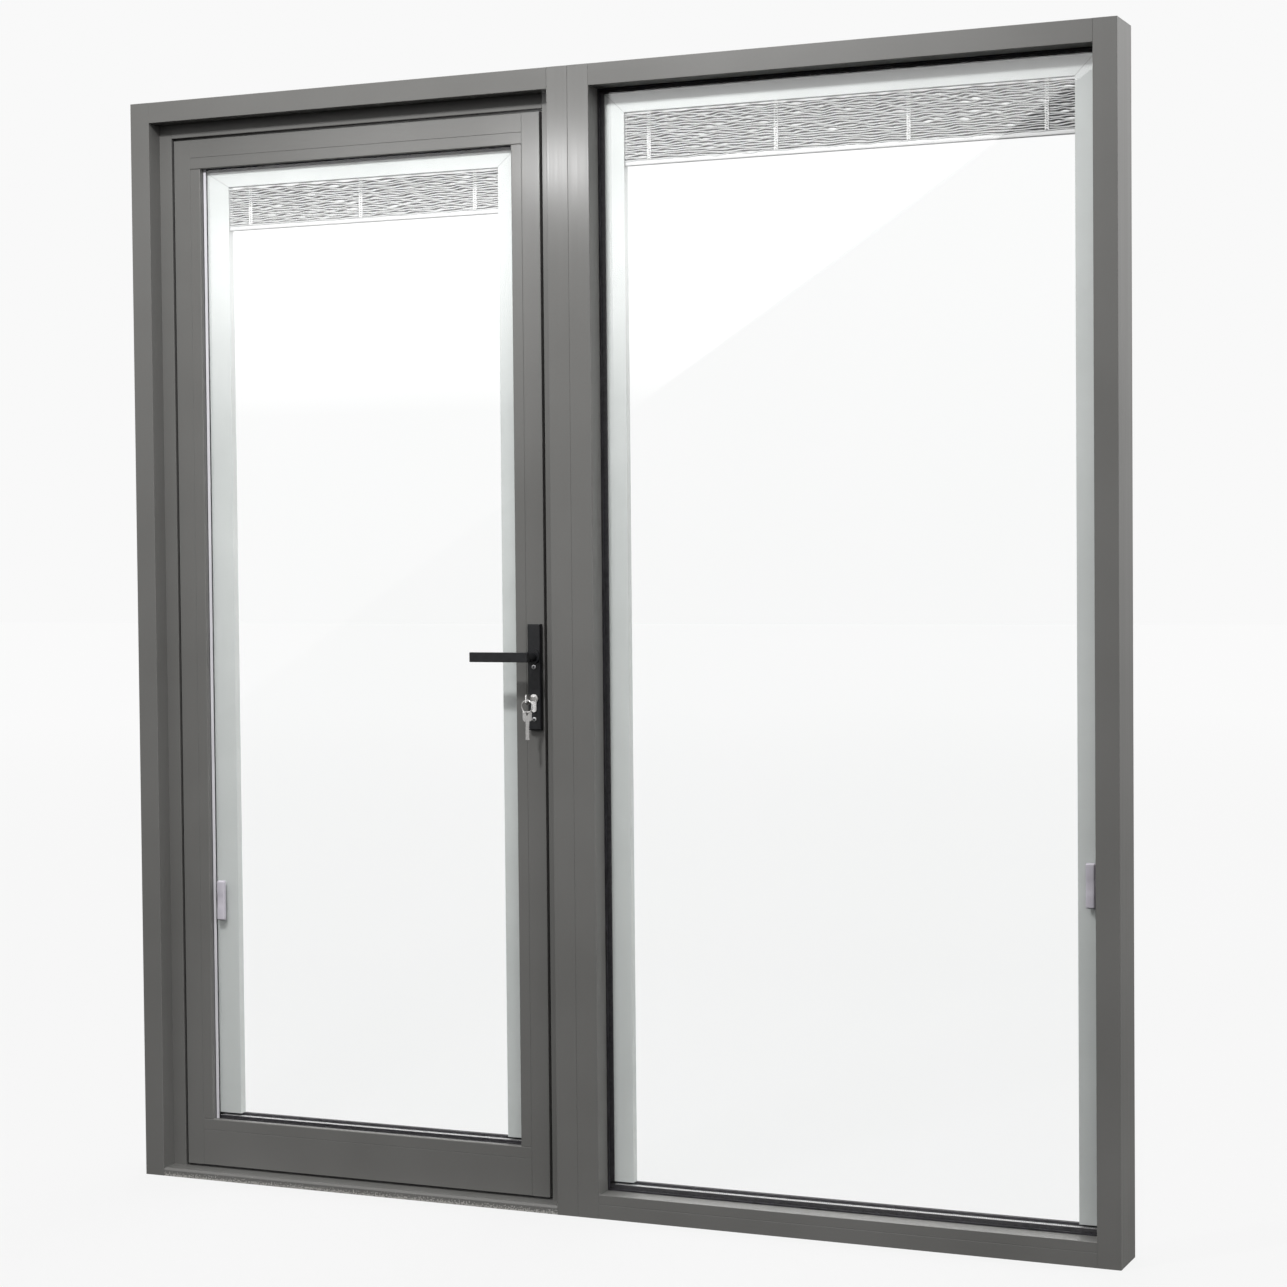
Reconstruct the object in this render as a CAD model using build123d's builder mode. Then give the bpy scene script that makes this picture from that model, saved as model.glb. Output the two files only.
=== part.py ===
"""Aluminium door and sidelight, with blinds sealed inside the glass. Sizes are millimetres."""

import os
from math import cos, radians, sin

from build123d import *

# Overall sizes of the coupled frames
set_height = 2100
door_frame_width = 943
window_frame_width = 1012

# Frame extrusions
jamb_face = 42
head_face = 39.5
sill_face = 44
flange_depth = 37
lip_width = 27.25
lip_thickness = 8
wall = 3
edge_chamfer = 0.6
threshold_height = 16
threshold_nose = 4

# Door leaf extrusions
leaf_thickness = 60
leaf_gap = 5.5
leaf_lift = 5
leaf_overlap = 13.5
rear_gap = 8
seal_space = 3
seal_clearance = 0.8
stile_face = 37
top_rail_face = 35
bottom_rail_face = 69
bead_width = 22
bead_depth = 10
bead_round = 2
corner_gap = 0.3

# Glass units
pane_thickness = 5
cavity_depth = 20
leaf_gasket = 3
leaf_bite = 14
leaf_gasket_lip = 0
window_flange_depth = 41
window_gasket = 4
window_bite = 15
window_gasket_lip = 3
edge_gap = 3
gasket_seat = 8
door_spacer_side = 4
door_spacer_top = 7
door_spacer_bottom = 11
window_spacer_side = 9
window_spacer_top = 9
window_spacer_bottom = 15

# Blinds inside the glass units
cassette_depth = 16
door_bar_left = 52
door_bar_right = 37
door_blind_head = 36
door_slats = 18
door_tapes = 3
window_bar_left = 47
window_bar_right = 44
window_blind_head = 44
window_slats = 21
window_tapes = 4
slat_width = 12.5
slat_rise = 1.6
slat_thickness = 0.7
slat_pitch = 4.2
first_slat = 0.75
slat_end_gap = 3
tape_width = 9
tape_thickness = 0.6
tape_inset = 46
blind_rail_height = 9
blind_rail_depth = 14

# Blind sliders on the room side of the glass
slider_rail_offset = 0.5
slider_rail_width = 5.5
slider_rail_thickness = 1.5
slider_offset = 11
slider_width = 17
slider_height = 78
slider_depth = 8
slider_clearance = 0.3
slider_round = 2
door_slider_level = 543
window_slider_level = 643

# Lever handles, lock and keys
handle_backset = 16.75
plate_width = 26
plate_height = 196
plate_depth = 11
plate_round = 2
plate_centre_level = 989
lever_level = 1027
lever_reach = 109
lever_tail = 9.5
lever_height = 18
lever_thickness = 11
lever_standoff = 48
lever_chamfer = 0.8
neck_radius = 8.5
collar_radius = 13.4
collar_depth = 5
turn_clearance = 0.3
spindle_size = 8
spindle_hole_radius = 7
lock_level = 949
cylinder_radius = 8.5
cylinder_slot = 10
cylinder_height = 33
cylinder_proud = 2
plug_radius = 6.5
plug_proud = 1
cylinder_clearance = 0.3
lock_case_width = 24
forend_width = 20
forend_height = 240
forend_thickness = 2
key_thickness = 2.2
key_shank_width = 8
key_shank_length = 13
bow_radius = 9.5
bow_round = 4
bow_hole_radius = 3.5
bow_hole_inset = 5
ring_radius = 11
ring_wire = 0.9
ring_play = 0.7
ring_sides = 32
spare_key_turn = 34
spare_blade_width = 7.5
spare_blade_length = 34
bitting_cuts = 5
bitting_pitch = 4.2
bitting_depth = 2.2
bitting_start = 6

# Hinges on the far side
low_hinge_level = 260
middle_hinge_level = 1060
high_hinge_level = 1830
knuckle_radius = 9
knuckle_length = 50
knuckle_gap = 0.5
knuckle_stand = 1
pin_radius = 5
pin_clearance = 0.05
pin_short = 4
hinge_plate_width = 34
hinge_plate_thickness = 4

# Places worked out from the sizes above
set_width = door_frame_width + window_frame_width
frame_depth = flange_depth + leaf_thickness
x_left = -set_width / 2
x_seam = x_left + door_frame_width
x_right = set_width / 2
y_front = -frame_depth / 2
y_leaf = y_front + flange_depth
y_back = frame_depth / 2

leaf_left = x_left + jamb_face + lip_width + leaf_gap
leaf_right = x_seam - jamb_face - lip_width - leaf_gap
leaf_bottom = threshold_height + leaf_lift
leaf_top = set_height - head_face - lip_width - leaf_gap
leaf_step = lip_thickness + seal_space
lip_reach = leaf_gap - leaf_overlap - rear_gap

os.makedirs("parts", exist_ok=True)


def keep(piece, name):
    """Label a finished piece and write it."""
    piece.part.label = name
    export_step(piece.part, f"parts/{name}.step")
    print(name, len(piece.part.solids()), "solids")


def block(x_span, y_span, z_span, mode=Mode.ADD):
    """A box between two corners, in the part being built."""
    spans = (x_span, y_span, z_span)
    with Locations(tuple((low + high) / 2 for low, high in spans)):
        Box(*(high - low for low, high in spans), mode=mode)


def patch(x_span, z_span, mode=Mode.ADD):
    """A rectangle between two corners, in the sketch being built."""
    with Locations(((x_span[0] + x_span[1]) / 2, (z_span[0] + z_span[1]) / 2)):
        Rectangle(x_span[1] - x_span[0], z_span[1] - z_span[0], mode=mode)


def upright(depth):
    """The vertical plane at a depth, with X across and Z up; negative amounts go deeper."""
    return Plane.XZ.offset(-depth)


def outward_corners(outline):
    """The points of an outline where its profile juts out."""
    following = outline[1:] + outline[:1]
    preceding = outline[-1:] + outline[:-1]
    area = sum(here[0] * after[1] - after[0] * here[1] for here, after in zip(outline, following))
    corners = []
    for before, here, after in zip(preceding, outline, following):
        inbound = (here[0] - before[0], here[1] - before[1])
        outbound = (after[0] - here[0], after[1] - here[1])
        bend = inbound[0] * outbound[1] - inbound[1] * outbound[0]
        if bend * area > 0:
            corners.append(Vector(*here))
    return corners


def extrusion(outline, chambers, plane, length, easing=edge_chamfer):
    """A straight run of an aluminium profile: its outline with eased corners, less its chambers."""
    with BuildPart() as run:
        with BuildSketch(plane) as section:
            with BuildLine():
                Polyline(*outline, close=True)
            make_face()
            if easing > 0:
                corners = outward_corners(outline)
                eased = [
                    vertex
                    for vertex in section.vertices()
                    if min((vertex.center() - corner).length for corner in corners) < easing
                ]
                chamfer(eased, easing)
            for across, deep in chambers:
                patch(across, deep, mode=Mode.SUBTRACT)
        extrude(amount=length)
    return run.part


def mass(outline, plane, length):
    """The solid space that a profile fills, to cope its neighbours to."""
    return extrusion(outline, [], plane, length, easing=0)


def rising_plane(x, y, z):
    """Profile plane of a left-hand upright: across is +X, deep is +Y, the run goes up."""
    return Plane(origin=(x, y, z), x_dir=(1, 0, 0), z_dir=(0, 0, 1))


def falling_plane(x, y, z):
    """Profile plane of a right-hand upright: across is -X, deep is +Y, the run goes down."""
    return Plane(origin=(x, y, z), x_dir=(-1, 0, 0), z_dir=(0, 0, -1))


def head_plane(x, y, z):
    """Profile plane of a top rail: across is down, deep is +Y, the run goes right."""
    return Plane(origin=(x, y, z), x_dir=(0, 0, -1), z_dir=(1, 0, 0))


def sill_plane(x, y, z):
    """Profile plane of a bottom rail: across is up, deep is +Y, the run goes left."""
    return Plane(origin=(x, y, z), x_dir=(0, 0, 1), z_dir=(-1, 0, 0))


def door_profile(face):
    """Door frame section: proud flange, stop lip and body, with two hollow chambers."""
    lip_edge = face + lip_width
    body = lip_edge + lip_reach
    lip_back = flange_depth + lip_thickness
    outline = [
        (0, 0),
        (face, 0),
        (face, flange_depth),
        (lip_edge, flange_depth),
        (lip_edge, lip_back),
        (body, lip_back),
        (body, frame_depth),
        (0, frame_depth),
    ]
    chambers = [
        ((wall, face - wall), (wall, flange_depth - wall)),
        ((wall, body - wall), (flange_depth + wall, frame_depth - wall)),
    ]
    return outline, chambers


def window_profile(face):
    """Fixed light section: deep flange in front of the glass, open to the back for its bead."""
    floor = face - window_bite - edge_gap
    outline = [
        (0, 0),
        (face, 0),
        (face, window_flange_depth),
        (floor, window_flange_depth),
        (floor, frame_depth),
        (0, frame_depth),
    ]
    chambers = [
        ((wall, face - wall), (wall, window_flange_depth - wall)),
        ((wall, floor - wall), (window_flange_depth, frame_depth - wall)),
    ]
    return outline, chambers


# Door frame: full height jambs, with the head and threshold coped between them
jamb_outline, jamb_chambers = door_profile(jamb_face)
hinge_jamb_plane = rising_plane(x_left, y_front, 0)
strike_jamb_plane = falling_plane(x_seam, y_front, set_height)
hinge_jamb_mass = mass(jamb_outline, hinge_jamb_plane, set_height)
strike_jamb_mass = mass(jamb_outline, strike_jamb_plane, set_height)

with BuildPart() as hinge_jamb:
    add(extrusion(jamb_outline, jamb_chambers, hinge_jamb_plane, set_height))
keep(hinge_jamb, "hinge_jamb")

strike_x = leaf_right + leaf_overlap + rear_gap
forend_y = y_leaf + leaf_step + (leaf_thickness - leaf_step) / 2
forend_span = (forend_y - forend_width / 2, forend_y + forend_width / 2)
forend_levels = (plate_centre_level - forend_height / 2, plate_centre_level + forend_height / 2)

with BuildPart() as strike_jamb:
    add(extrusion(jamb_outline, jamb_chambers, strike_jamb_plane, set_height))
    block((strike_x, strike_x + forend_thickness), forend_span, forend_levels, Mode.SUBTRACT)
keep(strike_jamb, "strike_jamb")

with BuildPart() as strike_plate:
    block((strike_x, strike_x + forend_thickness), forend_span, forend_levels)
keep(strike_plate, "strike_plate")

with BuildPart() as door_head:
    add(extrusion(*door_profile(head_face), head_plane(x_left, y_front, set_height), door_frame_width))
    add(hinge_jamb_mass, mode=Mode.SUBTRACT)
    add(strike_jamb_mass, mode=Mode.SUBTRACT)
keep(door_head, "door_head")

threshold_outline = [
    (0, 0),
    (threshold_height - threshold_nose, 0),
    (threshold_height, threshold_nose),
    (threshold_height, frame_depth),
    (0, frame_depth),
]
threshold_chambers = [
    ((wall, threshold_height - wall), (threshold_nose + wall, flange_depth - wall)),
    ((wall, threshold_height - wall), (flange_depth, frame_depth - wall)),
]

with BuildPart() as threshold:
    sill_start = sill_plane(x_seam, y_front, 0)
    add(extrusion(threshold_outline, threshold_chambers, sill_start, door_frame_width))
    add(hinge_jamb_mass, mode=Mode.SUBTRACT)
    add(strike_jamb_mass, mode=Mode.SUBTRACT)
keep(threshold, "threshold")

# Rubber stop seal behind the lips of the jambs and head
seal_back = y_leaf + lip_thickness + seal_space - seal_clearance
seal_inner_left = leaf_left - leaf_gap
seal_inner_right = leaf_right + leaf_gap
seal_inner_top = leaf_top + leaf_gap
seal_width = leaf_overlap - leaf_gap

with BuildPart() as door_seal:
    with BuildSketch(upright(y_leaf + lip_thickness)):
        patch(
            (seal_inner_left - seal_width, seal_inner_right + seal_width),
            (threshold_height, seal_inner_top + seal_width),
        )
        patch(
            (seal_inner_left, seal_inner_right),
            (threshold_height, seal_inner_top),
            mode=Mode.SUBTRACT,
        )
    extrude(amount=-(seal_back - y_leaf - lip_thickness))
keep(door_seal, "door_seal")

# Fixed light frame: full height jambs, with the head and sill coped between them
light_outline, light_chambers = window_profile(jamb_face)
light_left_plane = rising_plane(x_seam, y_front, 0)
light_right_plane = falling_plane(x_right, y_front, set_height)
light_left_mass = mass(light_outline, light_left_plane, set_height)
light_right_mass = mass(light_outline, light_right_plane, set_height)
sill_floor = sill_face - window_bite - edge_gap
window_rear = window_flange_depth + 2 * window_gasket + 2 * pane_thickness + cavity_depth

with BuildPart() as window_left_jamb:
    add(extrusion(light_outline, light_chambers, light_left_plane, set_height))
keep(window_left_jamb, "window_left_jamb")

with BuildPart() as window_right_jamb:
    add(extrusion(light_outline, light_chambers, light_right_plane, set_height))
keep(window_right_jamb, "window_right_jamb")

with BuildPart() as window_head:
    head_start = head_plane(x_seam, y_front, set_height)
    add(extrusion(*window_profile(head_face), head_start, window_frame_width))
    add(light_left_mass, mode=Mode.SUBTRACT)
    add(light_right_mass, mode=Mode.SUBTRACT)
keep(window_head, "window_head")


def box_section(across, deep):
    """Outline and chamber of a plain box profile."""
    outline = [(across[0], deep[0]), (across[1], deep[0]), (across[1], deep[1]), (across[0], deep[1])]
    chamber = ((across[0] + wall, across[1] - wall), (deep[0] + wall, deep[1] - wall))
    return outline, [chamber]


with BuildPart() as window_sill:
    sill_section = box_section((0, sill_floor), (0, frame_depth))
    add(extrusion(*sill_section, sill_plane(x_right, y_front, 0), window_frame_width))
    add(light_left_mass, mode=Mode.SUBTRACT)
    add(light_right_mass, mode=Mode.SUBTRACT)
keep(window_sill, "window_sill")

window_opening_x = (x_seam + jamb_face, x_right - jamb_face)
window_opening_z = (sill_face, set_height - head_face)

with BuildPart() as sill_trim:
    trim_section = box_section((sill_floor, sill_face), (0, window_flange_depth))
    trim_length = window_opening_x[1] - window_opening_x[0]
    add(extrusion(*trim_section, sill_plane(window_opening_x[1], y_front, 0), trim_length))
keep(sill_trim, "sill_trim")


def bead(plane, width, depth, length, outer_side):
    """A glazing bead: a square bar with its free edge well rounded on the side that shows."""
    with BuildPart() as bar:
        with BuildSketch(plane) as section:
            patch((0, width), (0, depth))
            fillet(section.vertices().sort_by(Axis.X)[-2:].sort_by(Axis.Y)[outer_side], bead_round)
            chamfer(section.vertices().sort_by(Axis.X)[:2].sort_by(Axis.Y)[outer_side], edge_chamfer)
        extrude(amount=length)
    return bar.part


def bead_frame(x_span, z_span, width, y, depth, outer_side):
    """Four beads round an opening: long ones at the top and bottom, short ones between them."""
    wide = (x_span[0] - width, x_span[1] + width)
    tall = (z_span[0] + corner_gap, z_span[1] - corner_gap)
    with BuildPart() as beads:
        add(bead(sill_plane(wide[1], y, z_span[0] - width), width, depth, wide[1] - wide[0], outer_side))
        add(bead(head_plane(wide[0], y, z_span[1] + width), width, depth, wide[1] - wide[0], outer_side))
        add(bead(rising_plane(wide[0], y, tall[0]), width, depth, tall[1] - tall[0], outer_side))
        add(bead(falling_plane(wide[1], y, tall[1]), width, depth, tall[1] - tall[0], outer_side))
    return beads


# Beads that hold the fixed light from the far side
rear_bead = window_bite + edge_gap
rear_bead_y = y_front + window_rear
keep(
    bead_frame(window_opening_x, window_opening_z, rear_bead, rear_bead_y, y_back - rear_bead_y, -1),
    "window_beads",
)

# Door leaf: full height stiles, with the rails coped between them
pocket_back = bead_depth + 2 * leaf_gasket + 2 * pane_thickness + cavity_depth


def leaf_profile(face, overlap):
    """Leaf section: narrow front, wider rear behind the stop lip, and a glazing pocket."""
    fin = face + bead_width
    outline = [(0, 0), (face, 0), (face, pocket_back), (fin, pocket_back), (fin, leaf_thickness)]
    if overlap > 0:
        outline += [(-overlap, leaf_thickness), (-overlap, leaf_step), (0, leaf_step)]
    else:
        outline += [(0, leaf_thickness)]
    chambers = [
        ((wall, face - wall), (wall, leaf_step)),
        ((wall - overlap, face - wall), (leaf_step + wall, leaf_thickness - wall)),
    ]
    return outline, chambers


leaf_reach = leaf_top + leaf_overlap
stile_outline, stile_chambers = leaf_profile(stile_face, leaf_overlap)
hinge_stile_plane = rising_plane(leaf_left, y_leaf, leaf_bottom)
lock_stile_plane = falling_plane(leaf_right, y_leaf, leaf_reach)
stile_length = leaf_reach - leaf_bottom
hinge_stile_mass = mass(stile_outline, hinge_stile_plane, stile_length)
lock_stile_mass = mass(stile_outline, lock_stile_plane, stile_length)
front_notch_y = (y_leaf, y_leaf + leaf_step)
front_notch_z = (leaf_top, leaf_reach)

with BuildPart() as hinge_stile:
    add(extrusion(stile_outline, stile_chambers, hinge_stile_plane, stile_length))
    block((leaf_left, leaf_left + stile_face), front_notch_y, front_notch_z, Mode.SUBTRACT)
keep(hinge_stile, "hinge_stile")

handle_x = leaf_right - handle_backset
lock_edge = leaf_right + leaf_overlap


def cylinder_outline(clearance):
    """Lock cylinder end: a round plug over a narrow slot, in the sketch being built."""
    slot_drop = cylinder_height - cylinder_radius - cylinder_slot / 2
    with Locations((handle_x, lock_level)):
        Circle(cylinder_radius + clearance)
    patch(
        (handle_x - cylinder_slot / 2 - clearance, handle_x + cylinder_slot / 2 + clearance),
        (lock_level - slot_drop, lock_level),
    )
    with Locations((handle_x, lock_level - slot_drop)):
        Circle(cylinder_slot / 2 + clearance)


with BuildPart() as lock_stile:
    add(extrusion(stile_outline, stile_chambers, lock_stile_plane, stile_length))
    block((leaf_right - stile_face, leaf_right), front_notch_y, front_notch_z, Mode.SUBTRACT)
    block((lock_edge - forend_thickness, lock_edge), forend_span, forend_levels, Mode.SUBTRACT)
    block(
        (handle_x - lock_case_width / 2, handle_x + lock_case_width / 2),
        (y_leaf + leaf_step, y_leaf + leaf_step + wall),
        forend_levels,
        Mode.SUBTRACT,
    )
    for wall_y in (y_leaf, y_back - wall):
        with BuildSketch(upright(wall_y)):
            with Locations((handle_x, lever_level)):
                Circle(spindle_hole_radius)
            cylinder_outline(cylinder_clearance)
        extrude(amount=-wall, mode=Mode.SUBTRACT)
keep(lock_stile, "lock_stile")

with BuildPart() as lock_forend:
    block((lock_edge - forend_thickness, lock_edge), forend_span, forend_levels)
keep(lock_forend, "lock_forend")

leaf_run = leaf_right - leaf_left

with BuildPart() as top_rail:
    top_section = leaf_profile(top_rail_face, leaf_overlap)
    add(extrusion(*top_section, head_plane(leaf_left, y_leaf, leaf_top), leaf_run))
    add(hinge_stile_mass, mode=Mode.SUBTRACT)
    add(lock_stile_mass, mode=Mode.SUBTRACT)
keep(top_rail, "top_rail")

with BuildPart() as bottom_rail:
    bottom_section = leaf_profile(bottom_rail_face, 0)
    add(extrusion(*bottom_section, sill_plane(leaf_right, y_leaf, leaf_bottom), leaf_run))
    add(hinge_stile_mass, mode=Mode.SUBTRACT)
    add(lock_stile_mass, mode=Mode.SUBTRACT)
keep(bottom_rail, "bottom_rail")

# Snap-in beads on the room side of the leaf
leaf_opening_x = (leaf_left + stile_face + bead_width, leaf_right - stile_face - bead_width)
leaf_opening_z = (leaf_bottom + bottom_rail_face + bead_width, leaf_top - top_rail_face - bead_width)
keep(
    bead_frame(leaf_opening_x, leaf_opening_z, bead_width, y_leaf, bead_depth, 0),
    "leaf_beads",
)


def ring_frame(x_span, z_span, outward, inward, y, depth):
    """A flat rectangular ring around an opening, in the part being built."""
    with BuildSketch(upright(y)) as face:
        patch(
            (x_span[0] - outward, x_span[1] + outward),
            (z_span[0] - outward, z_span[1] + outward),
        )
        patch(
            (x_span[0] + inward, x_span[1] - inward),
            (z_span[0] + inward, z_span[1] - inward),
            mode=Mode.SUBTRACT,
        )
    extrude(face.sketch, amount=-depth)


def gaskets(x_span, z_span, inward, y, thickness):
    """Rubber glazing gaskets in front of and behind a glass unit."""
    unit = 2 * pane_thickness + cavity_depth
    with BuildPart() as pair:
        ring_frame(x_span, z_span, gasket_seat, inward, y, thickness)
        ring_frame(x_span, z_span, gasket_seat, inward, y + thickness + unit, thickness)
    return pair


keep(
    gaskets(leaf_opening_x, leaf_opening_z, leaf_gasket_lip, y_leaf + bead_depth, leaf_gasket),
    "leaf_gasket",
)
keep(
    gaskets(
        window_opening_x,
        window_opening_z,
        window_gasket_lip,
        y_front + window_flange_depth,
        window_gasket,
    ),
    "window_gasket",
)


def glass_unit(name, x_span, z_span, bite, y_glass, lip, margins, bars, head_drop, slats, tapes, drive):
    """One sealed unit: two panes, spacer, blind cassette, raised blind and slider rail."""
    side, top, bottom = margins
    glass_x = (x_span[0] - bite, x_span[1] + bite)
    glass_z = (z_span[0] - bite, z_span[1] + bite)
    cavity_y = y_glass + pane_thickness
    inner_x = (x_span[0] + side, x_span[1] - side)
    inner_z = (z_span[0] + bottom, z_span[1] - top)

    with BuildPart() as front_pane:
        block(glass_x, (y_glass, cavity_y), glass_z)
    keep(front_pane, f"{name}_front_pane")

    rear_y = cavity_y + cavity_depth
    with BuildPart() as rear_pane:
        block(glass_x, (rear_y, rear_y + pane_thickness), glass_z)
    keep(rear_pane, f"{name}_rear_pane")

    with BuildPart() as spacer:
        with BuildSketch(upright(cavity_y)):
            patch(glass_x, glass_z)
            patch(inner_x, inner_z, mode=Mode.SUBTRACT)
        extrude(amount=-cavity_depth)
    keep(spacer, f"{name}_spacer")

    clear_x = (x_span[0] + bars[0], x_span[1] - bars[1])
    head_z = z_span[1] - head_drop
    cassette_y = cavity_y + (cavity_depth - cassette_depth) / 2
    with BuildPart() as cassette:
        with BuildSketch(upright(cassette_y)):
            patch(inner_x, inner_z)
            patch(clear_x, (inner_z[0], head_z), mode=Mode.SUBTRACT)
        extrude(amount=-cassette_depth)
    keep(cassette, f"{name}_cassette")

    slat_x = (clear_x[0] + slat_end_gap, clear_x[1] - slat_end_gap)
    slat_run = slat_x[1] - slat_x[0]
    middle_y = cavity_y + cavity_depth / 2
    stack = slats * slat_pitch
    tape_gap = (slat_run - 2 * tape_inset) / (tapes - 1)
    half = slat_width / 2
    crown = [(-half, 0), (-half / 3, slat_rise), (half / 3, slat_rise), (half, 0)]
    with BuildPart() as blind:
        for count in range(slats):
            level = head_z - slat_pitch * (count + first_slat)
            slat_start = Plane(origin=(slat_x[0], middle_y, level), x_dir=(0, 1, 0), z_dir=(1, 0, 0))
            with BuildSketch(slat_start):
                with BuildLine():
                    Polyline(*crown, *((y, z + slat_thickness) for y, z in reversed(crown)), close=True)
                make_face()
            extrude(amount=slat_run)
        for number in range(tapes):
            tape_x = slat_x[0] + tape_inset + number * tape_gap
            for low_y in (middle_y - half - tape_thickness, middle_y + half):
                block(
                    (tape_x - tape_width / 2, tape_x + tape_width / 2),
                    (low_y, low_y + tape_thickness),
                    (head_z - stack, head_z),
                )
        block(
            slat_x,
            (middle_y - blind_rail_depth / 2, middle_y + blind_rail_depth / 2),
            (head_z - stack - blind_rail_height, head_z - stack),
        )
    keep(blind, f"{name}_blind")

    rail_inset = lip + slider_rail_offset
    if drive == "left":
        rail_low = x_span[0] + rail_inset
    else:
        rail_low = x_span[1] - rail_inset - slider_rail_width
    with BuildPart() as slider_rail:
        block(
            (rail_low, rail_low + slider_rail_width),
            (y_glass - slider_rail_thickness, y_glass),
            (z_span[0] + lip, z_span[1] - lip),
        )
    keep(slider_rail, f"{name}_slider_rail")


leaf_glass_y = y_leaf + bead_depth + leaf_gasket
window_glass_y = y_front + window_flange_depth + window_gasket
glass_unit(
    "door",
    leaf_opening_x,
    leaf_opening_z,
    leaf_bite,
    leaf_glass_y,
    leaf_gasket_lip,
    (door_spacer_side, door_spacer_top, door_spacer_bottom),
    (door_bar_left, door_bar_right),
    door_blind_head,
    door_slats,
    door_tapes,
    "left",
)
glass_unit(
    "window",
    window_opening_x,
    window_opening_z,
    window_bite,
    window_glass_y,
    window_gasket_lip,
    (window_spacer_side, window_spacer_top, window_spacer_bottom),
    (window_bar_left, window_bar_right),
    window_blind_head,
    window_slats,
    window_tapes,
    "right",
)


def slider(low_x, y_glass, level):
    """A magnetic slider that rides on the glass and drives the blind."""
    with BuildPart() as grip:
        block(
            (low_x, low_x + slider_width),
            (y_glass - slider_clearance - slider_depth, y_glass - slider_clearance),
            (level - slider_height / 2, level + slider_height / 2),
        )
        fillet(grip.faces().sort_by(Axis.Y)[0].edges(), slider_round)
    return grip


keep(slider(leaf_opening_x[0] + slider_offset, leaf_glass_y, door_slider_level), "door_slider")
keep(
    slider(window_opening_x[1] - slider_offset - slider_width, window_glass_y, window_slider_level),
    "window_slider",
)


def handle_plate(y_low, outer_is_low):
    """A long backplate with holes for the spindle and the lock cylinder."""
    with BuildPart() as plate:
        with BuildSketch(upright(y_low)):
            with Locations((handle_x, plate_centre_level)):
                Rectangle(plate_width, plate_height)
            with Locations((handle_x, lever_level)):
                Circle(spindle_hole_radius, mode=Mode.SUBTRACT)
        extrude(amount=-plate_depth)
        outer = plate.faces().filter_by(Axis.Y).sort_by(Axis.Y)[0 if outer_is_low else -1]
        fillet(outer.outer_wire().edges(), plate_round)
        with BuildSketch(upright(y_low)):
            cylinder_outline(cylinder_clearance)
        extrude(amount=-plate_depth, mode=Mode.SUBTRACT)
    return plate


keep(handle_plate(y_leaf - plate_depth, True), "handle_plate_front")
keep(handle_plate(y_back, False), "handle_plate_back")


def lever(y_collar, outward):
    """A lever: collar at the plate, round neck, and a flat bar with eased edges."""
    y_neck = y_collar + outward * collar_depth
    y_bar = y_collar + outward * (lever_standoff - plate_depth)
    with BuildPart() as handle:
        with BuildSketch(upright(y_bar)):
            patch(
                (handle_x - lever_reach, handle_x + lever_tail),
                (lever_level - lever_height / 2, lever_level + lever_height / 2),
            )
        extrude(amount=-outward * lever_thickness)
        chamfer(handle.edges(), lever_chamfer)
        with BuildSketch(upright(y_collar)):
            with Locations((handle_x, lever_level)):
                Circle(collar_radius)
        extrude(amount=-outward * collar_depth)
        with BuildSketch(upright(y_neck)):
            with Locations((handle_x, lever_level)):
                Circle(neck_radius)
        extrude(amount=-outward * (abs(y_bar - y_neck) + lever_chamfer))
    return handle


front_collar = y_leaf - plate_depth - turn_clearance
back_collar = y_back + plate_depth + turn_clearance
keep(lever(front_collar, -1), "lever_front")
keep(lever(back_collar, 1), "lever_back")

with BuildPart() as spindle:
    block(
        (handle_x - spindle_size / 2, handle_x + spindle_size / 2),
        (front_collar, back_collar),
        (lever_level - spindle_size / 2, lever_level + spindle_size / 2),
    )
keep(spindle, "spindle")

# Lock cylinder, the key in it, and a spare key hanging from the ring
cylinder_front = y_leaf - plate_depth - cylinder_proud
cylinder_back = y_back + plate_depth + cylinder_proud
plug_front = cylinder_front - plug_proud
plug_back = cylinder_back + plug_proud

with BuildPart() as lock_cylinder:
    with BuildSketch(upright(cylinder_front)):
        cylinder_outline(0)
    extrude(amount=-(cylinder_back - cylinder_front))
    with BuildSketch(upright(plug_front)):
        with Locations((handle_x, lock_level)):
            Circle(plug_radius)
    extrude(amount=-(plug_back - plug_front))
keep(lock_cylinder, "lock_cylinder")

bow_y = plug_front - key_shank_length - bow_radius
bow_hole_y = bow_y - bow_radius + bow_hole_inset
key_plane = Plane(origin=(handle_x - key_thickness / 2, 0, 0), x_dir=(0, 1, 0), z_dir=(1, 0, 0))

with BuildPart() as key:
    with BuildSketch(key_plane):
        with Locations((bow_y, lock_level)):
            RectangleRounded(2 * bow_radius, 2 * bow_radius, bow_round)
        patch(
            (bow_y, plug_front),
            (lock_level - key_shank_width / 2, lock_level + key_shank_width / 2),
        )
        with Locations((bow_hole_y, lock_level)):
            Circle(bow_hole_radius, mode=Mode.SUBTRACT)
    extrude(amount=key_thickness)
keep(key, "key")

ring_top = lock_level - bow_hole_radius + ring_wire + ring_play
ring_level = ring_top - ring_radius

with BuildPart() as key_ring:
    with BuildSketch(upright(bow_hole_y - ring_wire)):
        with Locations((handle_x, ring_level)):
            RegularPolygon(ring_radius + ring_wire, side_count=ring_sides)
            RegularPolygon(ring_radius - ring_wire, side_count=ring_sides, mode=Mode.SUBTRACT)
    extrude(amount=-2 * ring_wire)
keep(key_ring, "key_ring")

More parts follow.
